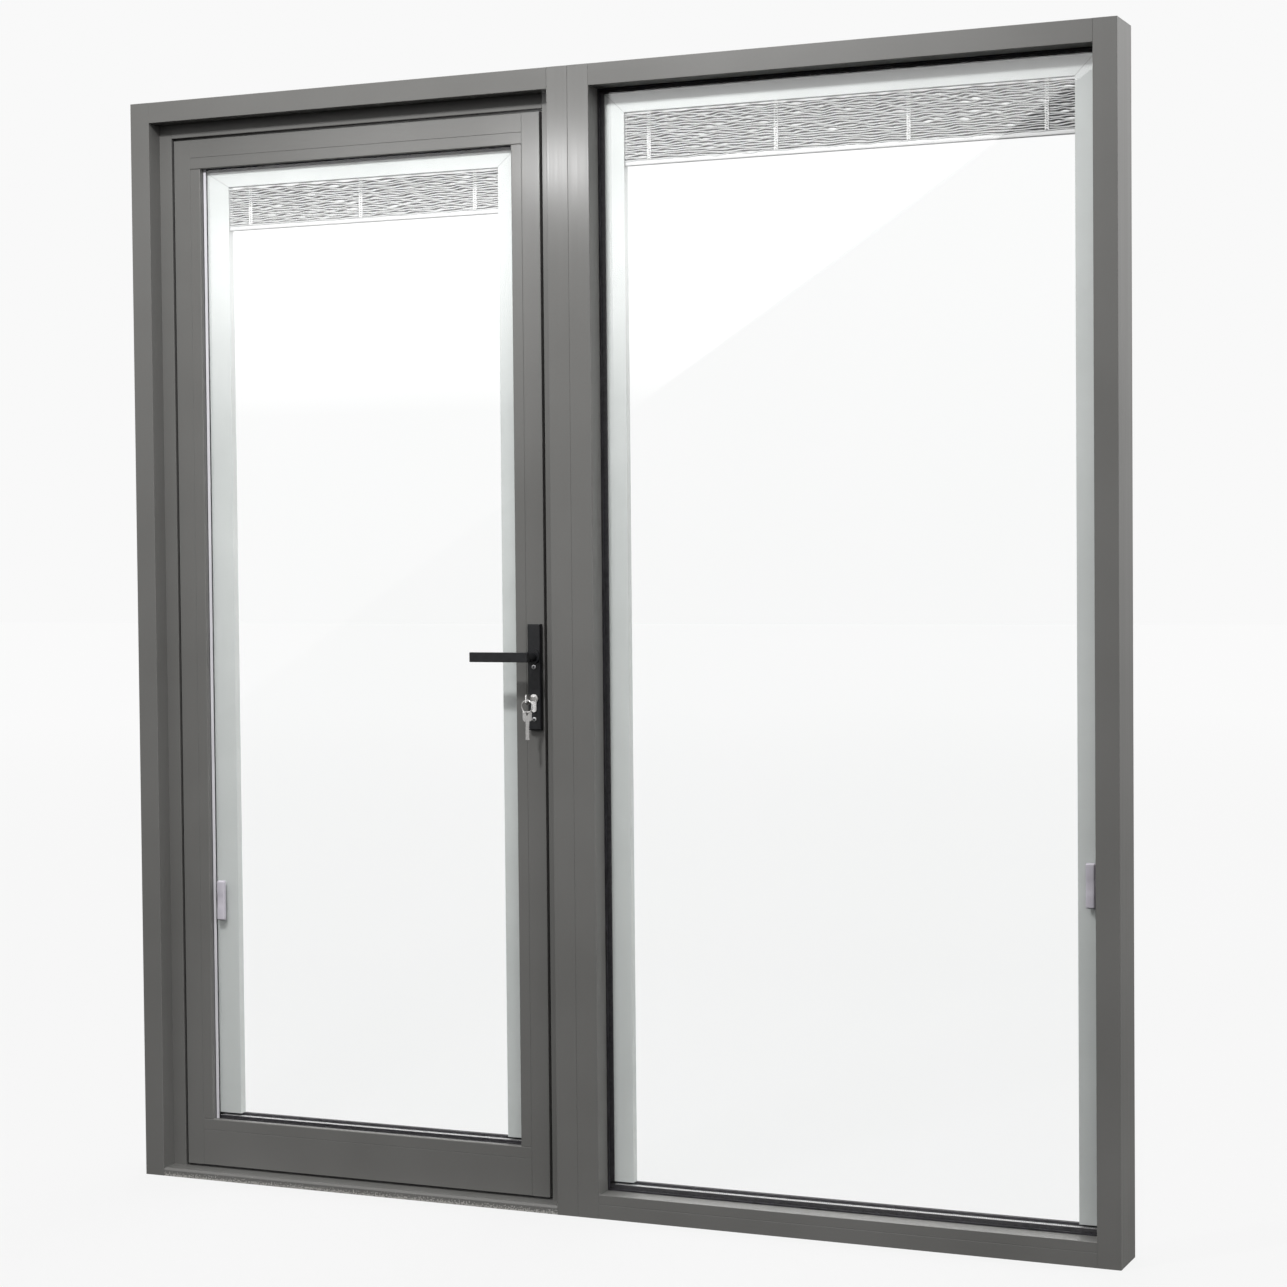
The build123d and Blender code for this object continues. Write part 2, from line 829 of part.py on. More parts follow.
turn = radians(spare_key_turn)
spare_key_drop = bow_hole_radius - ring_wire - ring_play
spare_plane = Plane(
    origin=(handle_x, bow_hole_y, ring_level - ring_radius - spare_key_drop),
    x_dir=(sin(turn), cos(turn), 0),
    z_dir=(cos(turn), -sin(turn), 0),
)
spare_bow_drop = bow_radius - bow_hole_inset
spare_tip = -spare_bow_drop - bow_radius - spare_blade_length

with BuildPart() as spare_key:
    with BuildSketch(spare_plane):
        with Locations((0, -spare_bow_drop)):
            RectangleRounded(2 * bow_radius, 2 * bow_radius, bow_round)
        patch((-spare_blade_width / 2, spare_blade_width / 2), (spare_tip, -spare_bow_drop))
        Circle(bow_hole_radius, mode=Mode.SUBTRACT)
        for cut in range(bitting_cuts):
            with Locations((spare_blade_width / 2, spare_tip + bitting_start + cut * bitting_pitch)):
                Rectangle(bitting_depth, bitting_depth, rotation=45, mode=Mode.SUBTRACT)
    extrude(amount=key_thickness / 2, both=True)
keep(spare_key, "spare_key")

# Lift-off hinges on the far side: the frame half holds the pin, the leaf half turns on it
axis_x = leaf_left - leaf_overlap - rear_gap / 2
axis_y = y_back + knuckle_stand + knuckle_radius
plate_y = (y_back, y_back + hinge_plate_thickness)
hinge_levels = (low_hinge_level, middle_hinge_level, high_hinge_level)

with BuildPart() as hinge_frame_halves:
    for level in hinge_levels:
        with BuildSketch(Plane.XY.offset(level - knuckle_length)):
            with Locations((axis_x, axis_y)):
                Circle(knuckle_radius)
            patch((axis_x - hinge_plate_width, axis_x), plate_y)
        extrude(amount=knuckle_length - knuckle_gap / 2)
        with BuildSketch(Plane.XY.offset(level - knuckle_gap / 2)):
            with Locations((axis_x, axis_y)):
                Circle(pin_radius)
        extrude(amount=knuckle_length - pin_short)
keep(hinge_frame_halves, "hinge_frame_halves")

with BuildPart() as hinge_leaf_halves:
    for level in hinge_levels:
        with BuildSketch(Plane.XY.offset(level + knuckle_gap / 2)):
            with Locations((axis_x, axis_y)):
                Circle(knuckle_radius)
            patch((axis_x, axis_x + hinge_plate_width), plate_y)
        extrude(amount=knuckle_length)
        with BuildSketch(Plane.XY.offset(level + knuckle_gap / 2)):
            with Locations((axis_x, axis_y)):
                Circle(pin_radius + pin_clearance)
        extrude(amount=knuckle_length - pin_short / 2, mode=Mode.SUBTRACT)
keep(hinge_leaf_halves, "hinge_leaf_halves")
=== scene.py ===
# %% [markdown]
# # A glazed door with its sidelight
# The object is an aluminium door set: a hinged glass door on the left and a fixed glass light on
# the right, both with a blind sealed between the panes. The solids come from a CAD model and stay
# as they are. Blender gives them their finishes and adds what is too fine for CAD: wavy slats,
# ladder tapes, screws.

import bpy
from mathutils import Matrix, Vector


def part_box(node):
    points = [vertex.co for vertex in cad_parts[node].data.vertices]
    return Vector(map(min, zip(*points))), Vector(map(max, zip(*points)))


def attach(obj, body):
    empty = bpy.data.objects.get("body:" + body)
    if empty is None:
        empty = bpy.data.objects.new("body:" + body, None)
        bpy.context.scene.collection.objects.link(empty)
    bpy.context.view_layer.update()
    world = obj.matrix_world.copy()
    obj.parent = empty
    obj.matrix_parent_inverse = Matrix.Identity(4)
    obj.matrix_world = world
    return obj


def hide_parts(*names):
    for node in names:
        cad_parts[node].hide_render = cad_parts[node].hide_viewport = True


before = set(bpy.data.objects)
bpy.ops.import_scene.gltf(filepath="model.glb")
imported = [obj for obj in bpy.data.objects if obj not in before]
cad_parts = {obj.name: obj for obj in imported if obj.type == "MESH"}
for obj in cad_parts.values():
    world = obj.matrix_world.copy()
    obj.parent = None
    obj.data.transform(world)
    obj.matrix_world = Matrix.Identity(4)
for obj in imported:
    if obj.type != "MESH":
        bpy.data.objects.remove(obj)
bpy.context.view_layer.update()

# %% [markdown]
# ## The camera
# The photo was taken from the right of the door and at chest height. A camera can be placed by
# eye, but a better way is to solve it from points whose places are known. Here the corners of the
# frame gave position, turn and lens.

# %% Camera solved from the frame's corners
import random
from math import cos, exp, pi, radians, sin, sqrt

import bmesh
import bpy
from mathutils import Matrix, Vector

camera_place = Vector((2.0954, -4.5319, 1.2109))
yaw, pitch, roll = (radians(angle) for angle in (-23.914, -1.842, -0.523))
forward = Vector((sin(yaw) * cos(pitch), cos(yaw) * cos(pitch), sin(pitch)))
level_right = Vector((cos(yaw), -sin(yaw), 0))
level_up = level_right.cross(forward)
camera_right = cos(roll) * level_right + sin(roll) * level_up
camera_up = cos(roll) * level_up - sin(roll) * level_right

lens = bpy.data.cameras.new("view")
lens.lens = 76.19
lens.sensor_width = 36
camera = bpy.data.objects.new("view", lens)
bpy.context.collection.objects.link(camera)
turn = Matrix((camera_right, camera_up, -forward)).transposed().to_4x4()
camera.matrix_world = Matrix.Translation(camera_place) @ turn
bpy.context.scene.camera = camera
set_middle = Vector((0, 0, 1.05))
print("camera", round((camera_place - set_middle).length, 2), "m from the middle of the set")

# %% [markdown]
# ## Studio light
# A pale studio is bright to look at and fairly dim to be lit by, or dark metal would wash out.
# The world node tree can tell the two apart with the Light Path node. Rays that light the object
# see a sky that is dark below, dim in front and bright behind and on the right, which keeps the
# undersides dark, as under a real head profile.

# %% World: pale to the eye, softer as a light
scene = bpy.context.scene
scene.view_settings.view_transform = "Standard"
world = bpy.data.worlds.new("studio")
world.use_nodes = True
scene.world = world


def node(tree, kind, **sockets):
    """A new node with some inputs set: n0 is the first one, and _ stands for a space."""
    made = tree.nodes.new(kind)
    for name, value in sockets.items():
        numbered = name[0] == "n" and name[1:].isdigit()
        socket = made.inputs[int(name[1:]) if numbered else name.replace("_", " ")]
        if isinstance(value, bpy.types.NodeSocket):
            tree.links.new(value, socket)
        else:
            socket.default_value = value
    return made


def spread(tree, value, start, end, low, high):
    """Map a value from the range start to end onto low to high, and hold it there."""
    made = node(tree, "ShaderNodeMapRange", Value=value, From_Min=start, From_Max=end,
                To_Min=low, To_Max=high)
    return made.outputs[0]


def calc(tree, operation, first, second):
    """One sum of two values."""
    made = node(tree, "ShaderNodeMath", n0=first, n1=second)
    made.operation = operation
    return made.outputs[0]


sky = world.node_tree
sky.nodes.clear()
looking = node(sky, "ShaderNodeTexCoord").outputs["Generated"]
direction = node(sky, "ShaderNodeSeparateXYZ", Vector=looking).outputs
above = spread(sky, direction["Z"], -0.15, 0.35, 0.0, 1.0)
behind = spread(sky, direction["Y"], 0.0, 0.9, 0.0, 0.80)
beside = spread(sky, direction["X"], 0.1, 0.9, 0.0, 1.50)
front_level, low_level = 1.05, 0.02
brightness = calc(sky, "ADD", calc(sky, "ADD", behind, beside), front_level)
strength = calc(sky, "ADD", calc(sky, "MULTIPLY", above, brightness), low_level)
soft_light = node(sky, "ShaderNodeBackground", Color=(1, 0.995, 0.99, 1), Strength=strength)
pale_wall = node(sky, "ShaderNodeBackground", Color=(0.947, 0.947, 0.947, 1), Strength=1)
to_eye = node(sky, "ShaderNodeLightPath").outputs["Is Camera Ray"]
both = node(sky, "ShaderNodeMixShader", n0=to_eye, n1=soft_light.outputs[0],
            n2=pale_wall.outputs[0])
node(sky, "ShaderNodeOutputWorld", Surface=both.outputs[0])
print("world:", len(sky.nodes), "nodes")

# %% [markdown]
# One small lamp in front and above gives the crisp shadow under the head and the lever. A wide
# lamp behind the door lights the far side. Light linking lets a lamp shine on chosen pieces
# alone, which the later lamps need.

# %% Lamps
def lamp(name, place, target, size, power):
    """An area lamp of a width and height that looks at a target and that the camera doesn't see."""
    light = bpy.data.lights.new(name, "AREA")
    light.shape = "RECTANGLE"
    light.size, light.size_y = size
    light.energy = power
    made = bpy.data.objects.new(name, light)
    bpy.context.collection.objects.link(made)
    made.location = place
    made.rotation_euler = (Vector(target) - Vector(place)).to_track_quat("-Z", "Y").to_euler()
    made.visible_camera = False
    return made


def shine_on(light, *names):
    """Let a lamp light only these pieces."""
    chosen = bpy.data.collections.new(light.name + "_on")
    for name in names:
        chosen.objects.link(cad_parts.get(name) or bpy.data.objects[name])
    light.light_linking.receiver_collection = chosen


key_lamp = lamp("key_lamp", (-0.42, -1.8, 3.05), (0, 0, 1.0), (0.20, 0.20), 50)
rear_lamp = lamp("rear_lamp", (-0.6, 4.0, 5.6), (0, 0, 1.0), (2.5, 2.0), 170)
rear_lamp.visible_glossy = False
for light in (key_lamp, rear_lamp):
    print(light.name, round(light.location.z, 2), "m up")

# %% [markdown]
# A large card of light hangs off to the left, turned so that its lower edge is mirrored in the
# panes as one straight slanting line. Only the panes take its light. The card is brightest in a
# band at the height that is mirrored over the lower slats, and it fades above and below that.

# %% Card whose edge shows in the panes
edge_low, edge_high = Vector((-4.61, -6.0, 0.56)), Vector((-0.6, -6.0, 3.12))
past_edge, card_width = 3.0, 2.5
to_door = Vector((0, 1, 0))
along = (edge_high - edge_low).normalized()
across = along.cross(to_door)
card_length = (edge_high - edge_low).length + past_edge
card_centre = (edge_low + edge_high) / 2 + across * card_width / 2
sheen_card = lamp("sheen_card", card_centre, card_centre + to_door, (card_length, card_width), 200)
card_turn = Matrix((along, across, -to_door)).transposed().to_4x4()
sheen_card.matrix_world = Matrix.Translation(card_centre) @ card_turn
shine_on(sheen_card, "door_front_pane", "door_rear_pane", "window_front_pane", "window_rear_pane")

sheen_card.data.use_nodes = True
tree = sheen_card.data.node_tree
lit_spot = node(tree, "ShaderNodeNewGeometry").outputs["Position"]
lit_height = node(tree, "ShaderNodeSeparateXYZ", Vector=lit_spot).outputs["Z"]
below_band = spread(tree, lit_height, 1.85, 2.45, 0.05, 1.0)
above_band = spread(tree, lit_height, 2.65, 2.85, 1.0, 0.62)
band = calc(tree, "MULTIPLY", below_band, above_band)
tree.links.new(band, tree.nodes["Emission"].inputs["Strength"])
print("sheen card", round(card_length, 2), "x", card_width, "m")

# %% [markdown]
# Satin metal shows a lamp as a soft glow where the lamp is mirrored. Two small lamps make such
# glows near the top of the mullion and of the leaf. They are switched off for diffuse light, so
# that nothing else gets brighter.

# %% Lamps that only show as reflections
mullion_top = Vector((-0.02, -0.05, 1.915))
glint_lamp = lamp("glint_lamp", (-0.17, -0.34, 1.965), mullion_top, (0.20, 0.04), 2.0)
glint_lamp.visible_diffuse = False
shine_on(glint_lamp, "lock_stile", "strike_jamb", "window_left_jamb", "top_rail", "leaf_beads")
leaf_corner = Vector((-0.30, -0.01, 1.85))
leaf_glint = lamp("leaf_glint", (-0.60, -0.60, 1.95), leaf_corner, (0.50, 0.60), 3.2)
leaf_glint.visible_diffuse = False
shine_on(leaf_glint, "lock_stile", "top_rail", "leaf_beads")
print("glint lamp", round((glint_lamp.location - mullion_top).length, 2), "m from the mullion")

# %% [markdown]
# The floor is one wide pale sheet. Most of its brightness is its own, so that it meets the pale
# wall without a line, and the rest takes the door's soft shadow. It is hidden from bounced light
# to keep the undersides dark.

# %% Floor
floor_reach, floor_drop = 40, 0.0005
floor_mesh = bpy.data.meshes.new("floor")
corners = [(a * floor_reach, b * floor_reach, 0) for a, b in ((-1, -1), (1, -1), (1, 1), (-1, 1))]
floor_mesh.from_pydata(corners, [], [(0, 1, 2, 3)])
floor = bpy.data.objects.new("floor", floor_mesh)
bpy.context.collection.objects.link(floor)
floor.location.z = -floor_drop
floor.visible_diffuse = floor.visible_glossy = False
floor_paint = bpy.data.materials.new("floor_paint")
floor_paint.use_nodes = True
tree = floor_paint.node_tree
tree.nodes.clear()
spot = node(tree, "ShaderNodeVectorMath", n0=node(tree, "ShaderNodeTexCoord").outputs["Object"])
spot.operation = "LENGTH"
far_off = spread(tree, spot.outputs["Value"], 3.0, 16.0, 0.862, 0.905)
glow = node(tree, "ShaderNodeEmission", Strength=far_off)
matt = node(tree, "ShaderNodeBsdfDiffuse", Color=(0.035, 0.035, 0.035, 1))
sheet = node(tree, "ShaderNodeAddShader", n0=glow.outputs[0], n1=matt.outputs[0])
node(tree, "ShaderNodeOutputMaterial", Surface=sheet.outputs[0])
floor_mesh.materials.append(floor_paint)
print("floor", 2 * floor_reach, "m wide")

# %% [markdown]
# ## Helpers for finishes
# A finish here is a Principled shader whose colour, roughness and relief come from noise at real
# sizes. Object coordinates are in metres, so a noise scale of 700 gives grains about 1.4 mm
# across.

# %% Helpers for node materials
def finish(name, **constants):
    """A new material, with constant values set on its Principled shader."""
    made = bpy.data.materials.new(name)
    made.use_nodes = True
    shader = made.node_tree.nodes["Principled BSDF"]
    for socket, value in constants.items():
        shader.inputs[socket.replace("_", " ")].default_value = value
    return made, made.node_tree, shader


def place_on(tree, stretch=(1, 1, 1)):
    """Object coordinates, stretched so that noise can run in streaks."""
    coordinates = node(tree, "ShaderNodeTexCoord").outputs["Object"]
    return node(tree, "ShaderNodeMapping", Vector=coordinates, Scale=stretch).outputs[0]


def grain(tree, place, scale, detail):
    """Noise with grains of about 1 / scale metres."""
    return node(tree, "ShaderNodeTexNoise", Vector=place, Scale=scale, Detail=detail).outputs[0]


def tones(tree, value, dark, pale, start=0.3, end=0.7):
    """A colour that goes from dark to pale while a value goes from start to end."""
    made = node(tree, "ShaderNodeValToRGB", Fac=value)
    for element, position, colour in zip(made.color_ramp.elements, (start, end), (dark, pale)):
        element.position = position
        element.color = (*colour, 1)
    return made.outputs[0]


def paint(tree, shader, value, dark, pale, start=0.3, end=0.7):
    """Colour a shader with two tones along a value."""
    tree.links.new(tones(tree, value, dark, pale, start, end), shader.inputs["Base Color"])


def roughen(tree, shader, value, low, high):
    """Roughness between low and high along a noise value."""
    tree.links.new(spread(tree, value, 0.3, 0.7, low, high), shader.inputs["Roughness"])


def relief(tree, shader, height, depth, strength):
    """Raise the surface a little where height is large; depth is in metres."""
    bump = node(tree, "ShaderNodeBump", Strength=strength, Distance=depth, Height=height)
    tree.links.new(bump.outputs[0], shader.inputs["Normal"])


def mixed(tree, factor, under, over):
    """One colour laid over another where factor is 1."""
    made = tree.nodes.new("ShaderNodeMix")
    made.data_type = "RGBA"
    tree.links.new(factor, made.inputs["Factor"])
    tree.links.new(under, made.inputs["A"])
    made.inputs["B"].default_value = (*over, 1)
    return made.outputs["Result"]


def weighted(tree, first, share, second):
    """Two noise values added, the first with a share and the second with the rest."""
    return calc(tree, "ADD", calc(tree, "MULTIPLY", first, share),
                calc(tree, "MULTIPLY", second, 1 - share))


def wear(material, *names):
    """Give CAD nodes a finish."""
    for name in names:
        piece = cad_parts[name]
        if piece.material_slots:
            for place in piece.material_slots:
                place.material = material
        else:
            piece.data.materials.append(material)
    print(material.name, "on", len(names), "nodes")


# %% [markdown]
# ## Powder coat on the profiles
# The frame and leaf are extruded aluminium with a warm grey satin powder coat. Close up such a
# coat has a fine orange peel, and faint lines run along each bar from the extrusion die. The
# lines follow the bar, so uprights and level bars get their own stretch of the noise. Along the
# floor the coat is chipped down to a grey primer.

# %% Powder coat for uprights and for level bars
coat_dark, coat_pale, primer = (0.118, 0.117, 0.112), (0.146, 0.145, 0.140), (0.40, 0.39, 0.37)
chip_low, chip_high = 0.001, 0.016


def powder_coat(name, stretch, chipped):
    """Satin coat with die lines along the direction in which stretch is small."""
    made, tree, shader = finish(name, Specular_IOR_Level=0.35)
    whole = place_on(tree)
    lines = grain(tree, place_on(tree, stretch), 420, 1)
    clouds, specks = grain(tree, whole, 3.2, 3), grain(tree, whole, 2300, 1)
    colour = tones(tree, weighted(tree, clouds, 0.55, specks), coat_dark, coat_pale, 0.36, 0.64)
    if chipped:
        height = node(tree, "ShaderNodeSeparateXYZ", Vector=whole).outputs["Z"]
        low_down = spread(tree, height, chip_low, chip_high, 0.66, 0.34)
        bare = calc(tree, "SUBTRACT", low_down, grain(tree, whole, 330, 4))
        colour = mixed(tree, spread(tree, bare, 0.09, 0.13, 0.0, 1.0), colour, primer)
    tree.links.new(colour, shader.inputs["Base Color"])
    roughen(tree, shader, lines, 0.36, 0.43)
    peel = grain(tree, whole, 640, 2)
    relief(tree, shader, weighted(tree, peel, 0.8, lines), 0.00009, 0.5)
    return made


along_x, along_z = (0.004, 1, 1), (1, 1, 0.004)
upright_coat = powder_coat("profile_coat_upright", along_z, False)
level_coat = powder_coat("profile_coat_level", along_x, False)
floor_coat = powder_coat("profile_coat_chipped", along_x, True)
wear(upright_coat, "hinge_jamb", "strike_jamb", "window_left_jamb", "window_right_jamb",
     "hinge_stile", "lock_stile")
wear(level_coat, "door_head", "window_head", "top_rail", "bottom_rail", "window_sill", "sill_trim",
     "leaf_beads", "window_beads")
wear(floor_coat, "threshold")

# %% [markdown]
# ## Rubber and glass
# Gaskets and the stop seal are black rubber with a dry bloom. A full glass shader would throw a
# shadow on the blind, so each face of a pane is a clear shader that turns into a mirror towards a
# grazing view. A faint mirror is added to it, and the light comes straight through.

# %% Rubber
rubber, tree, shader = finish("seal_rubber", Specular_IOR_Level=0.35)
whole = place_on(tree)
bloom = grain(tree, whole, 45, 4)
paint(tree, shader, bloom, (0.012, 0.012, 0.014), (0.034, 0.033, 0.038), start=0.35)
roughen(tree, shader, bloom, 0.5, 0.72)
relief(tree, shader, grain(tree, whole, 1500, 2), 0.00006, 0.4)
wear(rubber, "door_seal", "leaf_gasket", "window_gasket")

# %% Panes
def pane_glass(name, clear, mirrored):
    """Thin glass: the shares of light that each face lets by and sends back, seen squarely."""
    made = bpy.data.materials.new(name)
    made.use_nodes = True
    tree = made.node_tree
    tree.nodes.clear()
    haze = grain(tree, place_on(tree), 2.5, 3)
    hazy = (clear - 0.003, clear - 0.001, clear - 0.002)
    tint = tones(tree, haze, hazy, (clear - 0.001, clear, clear))
    through = node(tree, "ShaderNodeBsdfTransparent", Color=tint)
    mirror = node(tree, "ShaderNodeBsdfGlossy", Color=(1, 1, 1, 1), Roughness=0.0)
    slant = node(tree, "ShaderNodeLayerWeight", Blend=0.5).outputs["Facing"]
    grazing = calc(tree, "POWER", slant, 5.0)
    clear_part = node(tree, "ShaderNodeMixShader", n0=grazing, n1=through.outputs[0],
                      n2=mirror.outputs[0])
    grey = (mirrored, mirrored, mirrored, 1)
    faint = node(tree, "ShaderNodeBsdfGlossy", Color=grey, Roughness=0.0)
    face = node(tree, "ShaderNodeAddShader", n0=clear_part.outputs[0], n1=faint.outputs[0])
    node(tree, "ShaderNodeOutputMaterial", Surface=face.outputs[0])
    return made


wear(pane_glass("pane_glass_room_side", 0.983, 0.040), "door_front_pane", "window_front_pane")
wear(pane_glass("pane_glass_far_side", 1.0, 0.004), "door_rear_pane", "window_rear_pane")

# %% [markdown]
# ## Building pieces
# New pieces are meshes made in place, in metres, in the same frame as the CAD. The helpers below
# make a strand along points, a bar with rounded edges and a turned shape such as a screw head,
# each into an open bmesh.

# %% Helpers for meshes
def new_piece(name, bm, body, material, smooth=True):
    """Turn a bmesh into a piece that rides on a CAD body."""
    bmesh.ops.recalc_face_normals(bm, faces=bm.faces)
    mesh = bpy.data.meshes.new(name)
    bm.to_mesh(mesh)
    bm.free()
    if smooth:
        mesh.shade_smooth()
        mesh.set_sharp_from_angle(angle=radians(35))
    mesh.materials.append(material)
    made = bpy.data.objects.new(name, mesh)
    bpy.context.collection.objects.link(made)
    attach(made, body)
    print(name, len(mesh.polygons), "faces, rides on", body)
    return made


def loops(bm, rows):
    """Skin a list of closed rings of points, and close both ends."""
    rings = [[bm.verts.new(point) for point in row] for row in rows]
    count = len(rings[0])
    for ring, following in zip(rings, rings[1:]):
        for i in range(count):
            after = (i + 1) % count
            bm.faces.new((ring[i], ring[after], following[after], following[i]))
    bm.faces.new(rings[0])
    bm.faces.new(rings[-1][::-1])


def circle(centre, side, top, radius, sides):
    """Points round a centre, in the plane of two directions."""
    angles = [2 * pi * k / sides for k in range(sides)]
    return [centre + radius * (cos(angle) * side + sin(angle) * top) for angle in angles]


def strand(bm, points, radius_at, sides):
    """A round strand along points; radius_at gives its radius at 0 (start) to 1 (end)."""
    points = [Vector(p) for p in points]
    last = len(points) - 1
    rows = []
    for i, point in enumerate(points):
        ahead = (points[min(i + 1, last)] - points[max(i - 1, 0)]).normalized()
        side = ahead.cross(Vector((0, 1, 0)))
        if side.length < 0.1:
            side = ahead.cross(Vector((1, 0, 0)))
        side.normalize()
        rows.append(circle(point, side, side.cross(ahead), radius_at(i / last), sides))
    loops(bm, rows)


def bar(bm, low, high, rounding, steps):
    """A box between two corners with its edges rounded."""
    made = bmesh.ops.create_cube(bm, size=1)["verts"]
    middle = (Vector(low) + Vector(high)) / 2
    size = Vector(high) - Vector(low)
    for vert in made:
        vert.co = Vector(a * b for a, b in zip(vert.co, size)) + middle
    edges = list({edge for vert in made for edge in vert.link_edges})
    bmesh.ops.bevel(bm, geom=edges, offset=rounding, segments=steps, profile=0.5, affect="EDGES",
                    clamp_overlap=True)


def turned(bm, profile, centre, outward, sides):
    """A shape turned about an axis: profile is a list of (radius, height along outward)."""
    outward = Vector(outward).normalized()
    side = outward.orthogonal().normalized()
    top = outward.cross(side)
    loops(bm, [circle(Vector(centre) + outward * height, side, top, radius, sides)
               for radius, height in profile])


# %% [markdown]
# ## The blind cassettes
# Each blind hangs from a white lacquered cassette between the panes: a head rail and two side
# channels that are mitred at the corners. The CAD solid has the shape. The mitres show as fine
# dark lines, laid on as thin strips.

# %% Cassettes and their mitre lines
white_coat, tree, shader = finish("cassette_coat", Specular_IOR_Level=0.4)
whole = place_on(tree)
paint(tree, shader, grain(tree, whole, 6, 3), (0.52, 0.542, 0.534), (0.57, 0.592, 0.584))
roughen(tree, shader, grain(tree, whole, 60, 2), 0.34, 0.46)
relief(tree, shader, grain(tree, whole, 900, 2), 0.00005, 0.35)
wear(white_coat, "door_cassette", "window_cassette")

shadow_line, tree, shader = finish("joint_line", Roughness=0.8)
dirt = grain(tree, place_on(tree), 300, 2)
paint(tree, shader, dirt, (0.12, 0.125, 0.125), (0.22, 0.225, 0.225))
line_half, line_lift, blind_gap = 0.00035, 0.00015, 0.003


def mitre_lines(name, cassette, blind, body):
    """Thin lines across the two upper corners of a cassette, on both of its faces."""
    (x0, y0, _), (x1, y1, z1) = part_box(cassette)
    (b0, _, _), (b1, _, top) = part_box(blind)
    bm = bmesh.new()
    for outer, inner in ((x0, b0 - blind_gap), (x1, b1 + blind_gap)):
        for y, lift in ((y0, -line_lift), (y1, line_lift)):
            start, end = Vector((outer, y + lift, z1)), Vector((inner, y + lift, top))
            sideways = Vector((0, 1, 0)).cross(end - start).normalized() * line_half
            corners = [start + sideways, end + sideways, end - sideways, start - sideways]
            loops(bm, [corners, [p - Vector((0, lift, 0)) for p in corners]])
    new_piece(name, bm, body, shadow_line, smooth=False)


mitre_lines("door_cassette_mitres", "door_cassette", "door_blind", "leaf")
mitre_lines("window_cassette_mitres", "window_cassette", "window_blind", "frame")

# %% [markdown]
# ## Raised blinds
# The slats are pulled up into a stack. Thin slats never lie quite flat in one: each waves a
# little on its own, least where a ladder tape holds it, and dark gaps open between neighbours.
# Every slat is a thin crowned strip, skinned station by station along its length, with its own
# seeded waves. Faces that look down are painted near black: painted shade, which keeps the gaps
# between the slats dark.

# %% Finishes of the slats, with painted shade on their undersides
slat_paint, tree, shader = finish("slat_coat", Specular_IOR_Level=0.5, Metallic=0.15)
whole = place_on(tree)
streak = grain(tree, place_on(tree, (0.03, 1, 1)), 700, 2)
paint(tree, shader, streak, (0.62, 0.625, 0.625), (0.74, 0.745, 0.745))
roughen(tree, shader, grain(tree, whole, 40, 2), 0.30, 0.42)
relief(tree, shader, grain(tree, whole, 500, 2), 0.00004, 0.3)

# A near-black copy of the slat paint for the faces that look down: painted shade that darkens the
# gaps.
slat_painted_shade, tree, shader = finish("slat_underside_painted_shade", Roughness=0.6, Specular_IOR_Level=0.3)
dull = grain(tree, place_on(tree), 60, 3)
paint(tree, shader, dull, (0.03, 0.03, 0.032), (0.05, 0.05, 0.052))
print(slat_paint.name, "above,", slat_painted_shade.name, "below")

# %% Slats and bottom rails
slat_pitch, slat_reach, first_drop = 0.0042, 0.0024, 0.0038
settled_pitch = slat_pitch - 0.00003
slat_half, slat_gauge, slat_tilt = 0.00625, 0.00022, radians(3)
loose_crown, tight_crown, back_crown = 0.0033, 0.0036, 0.0040
full_swing, level_play, station_step = 0.0023, 0.0003, 0.0055
rail_height, rail_half, rail_gap, rail_rounding = 0.009, 0.0050, 0.0004, 0.0014
tape_inset, tape_hold = 0.046 + slat_reach, 0.011


def slat_section(x, middle, z, crown):
    """A ring of points round a slat: its crowned top from front to back, and its underside."""
    top = []
    for u in (-1, -0.5, 0, 0.5, 1):
        rise = crown - (crown if u < 0 else back_crown) * u * u - sin(slat_tilt) * u * slat_half
        top.append((x, middle + u * slat_half * cos(slat_tilt), z + rise - crown / 2))
    return top + [(px, py, pz - slat_gauge) for px, py, pz in reversed(top)]


